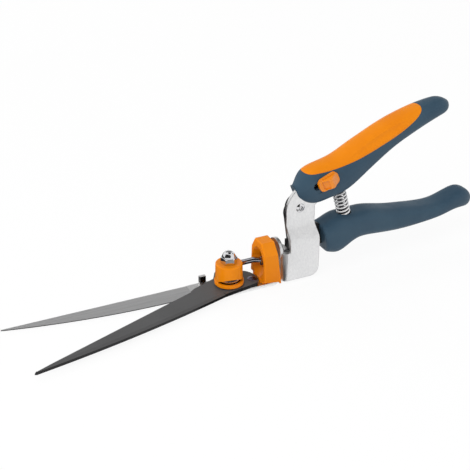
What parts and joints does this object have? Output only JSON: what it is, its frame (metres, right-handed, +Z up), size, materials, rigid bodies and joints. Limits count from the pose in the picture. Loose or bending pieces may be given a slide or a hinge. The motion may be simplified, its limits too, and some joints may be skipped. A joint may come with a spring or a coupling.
{
  "type": "grass shears",
  "caption": "One-handed grass shears: a fixed and a pivoting blade on a swivelling head, driven by a squeezed lower handle under a fixed top grip with a thumb lock.",
  "frame": {"origin": "on the blade bolt's axis, at the flat underside of the lower blade", "axes": "+X back towards the handles, -X towards the blade tips, +Y to the side of the fixed blade's spine, +Z up from the blades towards the top grip"},
  "size_m": [0.355, 0.0637, 0.1155],
  "materials": {
    "blade_steel": "satin ground steel",
    "coated_blade": "dark non-stick coating",
    "dark_rivet": "blackened",
    "plated_hardware": "zinc plated",
    "polished_hardware": "polished chrome",
    "sleeve_orange": "moulded, semi-gloss",
    "collar_orange": "moulded, semi-gloss",
    "nylon": "natural nylon",
    "bracket_plate": "satin nickel plate",
    "lever_steel": "dark coated steel",
    "rivet_steel": "plain steel",
    "grip_slate": "slate blue moulding, fine grain",
    "grip_slate_lower": "slate blue moulding, fine grain",
    "grip_inlay": "soft orange inlay",
    "spring_wire": "bright spring wire",
    "seat_plastic": "black moulding",
    "lock_orange": "moulded, semi-gloss"
  },
  "bodies": {
    "frame": {"bracket": "bracket_plate", "lever_rivet": "rivet_steel", "lever_washer": "plated_hardware", "swivel_bush": "plated_hardware", "lock_washer": "plated_hardware", "swivel_nut": "plated_hardware", "top_handle": "grip_slate", "top_grip_inlay": "grip_inlay", "handle_rivets": "rivet_steel", "return_spring": "spring_wire", "spring_seat_upper": "seat_plastic"},
    "lower_grip": {"lever": "lever_steel", "lower_handle": "grip_slate_lower", "lower_handle_pins": "rivet_steel", "spring_seat_lower": "seat_plastic"},
    "head": {"lower_blade": "blade_steel", "head_collar": "collar_orange", "collar_screws": "plated_hardware", "swivel_washer": "nylon", "blade_bolt": "plated_hardware", "blade_washer": "plated_hardware", "blade_sleeve": "sleeve_orange", "tension_discs": "polished_hardware", "acorn_nut": "polished_hardware"},
    "cutter": {"upper_blade": "coated_blade", "tail_rivet": "dark_rivet"},
    "shaft": {"pull_shaft": "polished_hardware", "link_pin": "plated_hardware", "shaft_nut": "plated_hardware"},
    "link": {"link_rod": "polished_hardware", "link_clip": "plated_hardware"},
    "lock": {"lock_slider": "lock_orange", "lock_latch": "plated_hardware"}
  },
  "joints": [
    {"name": "handle_squeeze", "type": "hinge", "parent": "frame", "child": "lower_grip", "pos_m": [0.052, 0, 0.0537], "axis": [0, -1, 0], "range_deg": [0, 8.62], "stiffness_Nm_per_rad": 2.5, "springref_deg": -8.02, "deforming": ["return_spring"]},
    {"name": "head_swivel", "type": "hinge", "parent": "frame", "child": "head", "pos_m": [0.033, 0, 0.017], "axis": [1, 0, 0], "continuous": true},
    {"name": "blade_hinge", "type": "hinge", "parent": "head", "child": "cutter", "pos_m": [0, 0, 0.0026], "axis": [0, 0, -1], "range_deg": [0, 21.5]},
    {"name": "shaft_slide", "type": "slide", "parent": "head", "child": "shaft", "axis": [1, 0, 0], "range_m": [0, 0.00552]},
    {"name": "link_swing", "type": "hinge", "parent": "shaft", "child": "link", "pos_m": [0.027, 0, 0.017], "axis": [0, 0, 1], "range_deg": [0, 2.84]},
    {"name": "lock_slide", "type": "slide", "parent": "frame", "child": "lock", "axis": [-0.9205, 0, -0.3907], "range_m": [0, 0.008]}
  ],
  "couplings": [
    {"joint": "blade_hinge", "follows": "handle_squeeze", "ratio": 2.4938},
    {"joint": "shaft_slide", "follows": "handle_squeeze", "m_per_rad": 0.036666},
    {"joint": "link_swing", "follows": "handle_squeeze", "ratio": 0.32984}
  ]
}
